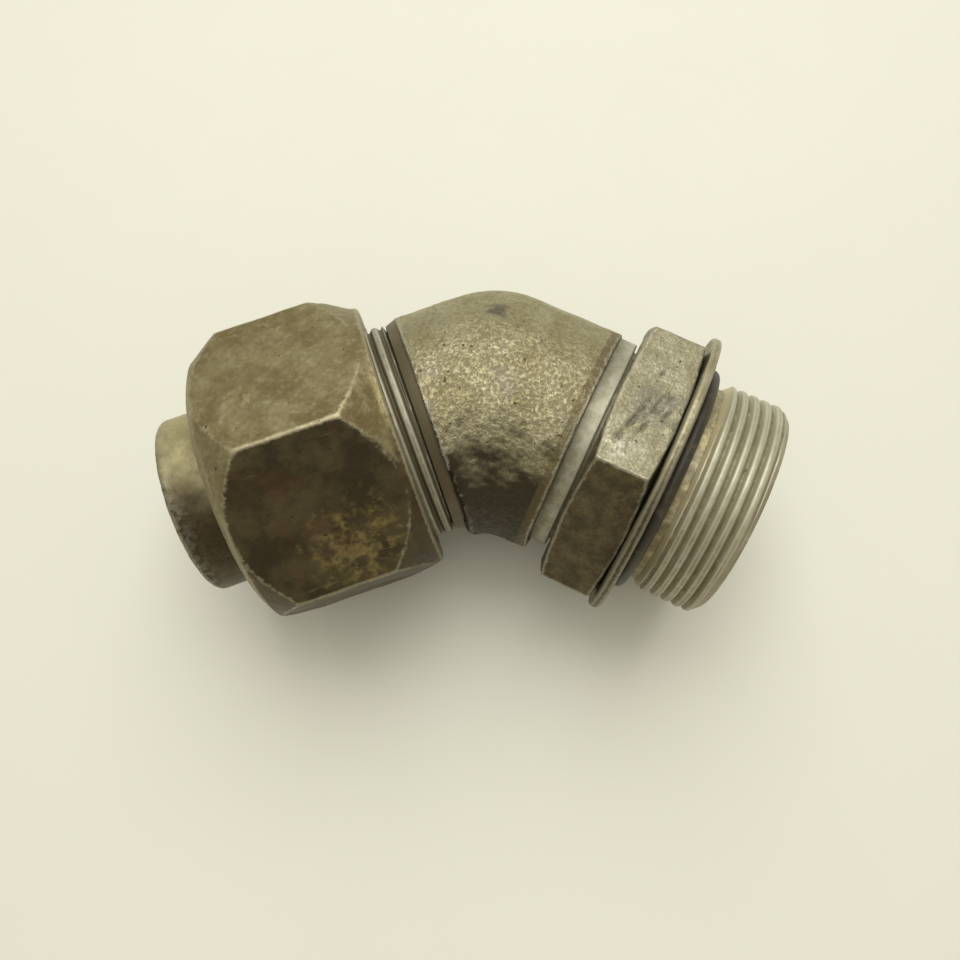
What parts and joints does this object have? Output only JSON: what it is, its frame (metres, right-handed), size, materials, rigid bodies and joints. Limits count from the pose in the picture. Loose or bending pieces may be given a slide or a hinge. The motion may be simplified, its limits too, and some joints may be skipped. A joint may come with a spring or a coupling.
{
  "type": "conduit compression fitting",
  "caption": "Forged steel 45 degree elbow joining a conduit to a threaded port: compression gland on one leg, O-ring stud with lock nut and washer on the other.",
  "frame": {"origin": "on the stud's axis, in the plane of the backup washer's port-side face", "axes": "+X along the stud, out of the fitting towards the port; +Z square to the plane of the bend; the gland leg runs towards -X -Y"},
  "size_m": [0.1039, 0.0811, 0.0586],
  "materials": {
    "forged_body": "rough zinc-plated forging, machined and plated threads",
    "gland_nut_plate": "worn olive zinc plating",
    "collar_plate": "worn yellow zinc plating",
    "spring_steel": "ground steel",
    "plain_steel": "zinc-plated sheet steel",
    "lock_nut_plate": "scuffed zinc plating",
    "washer_plate": "worn zinc plating",
    "seal_rubber": "matt black rubber"
  },
  "bodies": {
    "elbow": {"elbow_body": "forged_body", "compression_ring": "spring_steel", "gland_washer": "plain_steel", "sealing_ring": "seal_rubber"},
    "sleeve": {"gland_sleeve": "collar_plate"},
    "gland_nut": {"gland_nut": "gland_nut_plate"},
    "washer": {"backup_washer": "washer_plate", "boss_o_ring": "seal_rubber"},
    "lock_nut": {"lock_nut": "lock_nut_plate"}
  },
  "joints": [
    {"name": "sleeve_slide", "type": "slide", "parent": "elbow", "child": "sleeve", "axis": [-0.7071, -0.7071, 0], "range_m": [0, 0.00636]},
    {"name": "gland_nut_turn", "type": "hinge", "parent": "sleeve", "child": "gland_nut", "pos_m": [-0.05906, -0.02546, 0], "axis": [-0.7071, -0.7071, 0], "range_deg": [0, 1080]},
    {"name": "washer_slide", "type": "slide", "parent": "elbow", "child": "washer", "axis": [1, 0, 0], "range_m": [-0.00027, 0.00089]},
    {"name": "lock_nut_turn", "type": "hinge", "parent": "washer", "child": "lock_nut", "pos_m": [0, 0, 0], "axis": [1, 0, 0], "range_deg": [-45, 150]}
  ],
  "couplings": [
    {"joint": "sleeve_slide", "follows": "gland_nut_turn", "m_per_rad": 0.00033688},
    {"joint": "washer_slide", "follows": "lock_nut_turn", "m_per_rad": 0.00033688}
  ]
}
